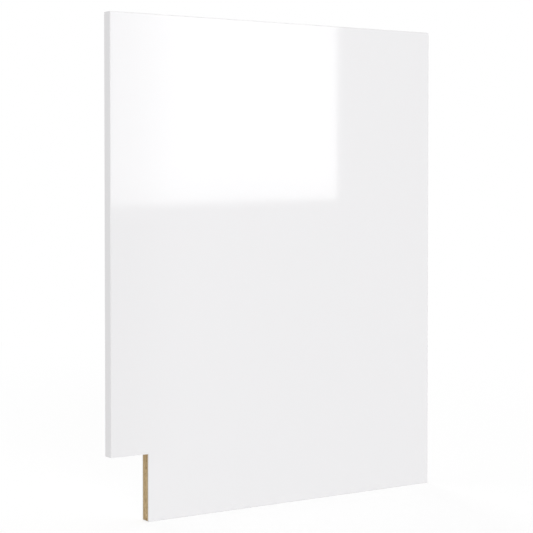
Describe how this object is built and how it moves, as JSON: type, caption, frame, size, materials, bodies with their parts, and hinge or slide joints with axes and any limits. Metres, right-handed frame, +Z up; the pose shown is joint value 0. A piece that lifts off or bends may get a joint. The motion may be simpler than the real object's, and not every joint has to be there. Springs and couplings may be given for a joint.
{
  "type": "base cabinet end panel",
  "caption": "Upright gloss-faced board with banded edges and a rectangular toe notch in its lower front corner, which covers the open side of a base cabinet.",
  "frame": {"origin": "floor level under the middle of the panel's depth and thickness", "axes": "+X from the banded front edge to the rear edge, +Y from the gloss side to the cabinet side, +Z up"},
  "size_m": [0.61, 0.019, 0.768],
  "materials": {
    "raw_board": "sawn, unsealed wood-based board",
    "gloss_sheet": "high gloss white",
    "satin_sheet": "plain satin white",
    "edge_band": "gloss white, arrises rounded"
  },
  "bodies": {
    "root": {"core_board": "raw_board", "gloss_face": "gloss_sheet", "back_sheet": "satin_sheet", "front_edge_band": "edge_band", "rear_edge_band": "edge_band", "top_edge_band": "edge_band", "bottom_edge_band": "edge_band"}
  },
  "joints": []
}
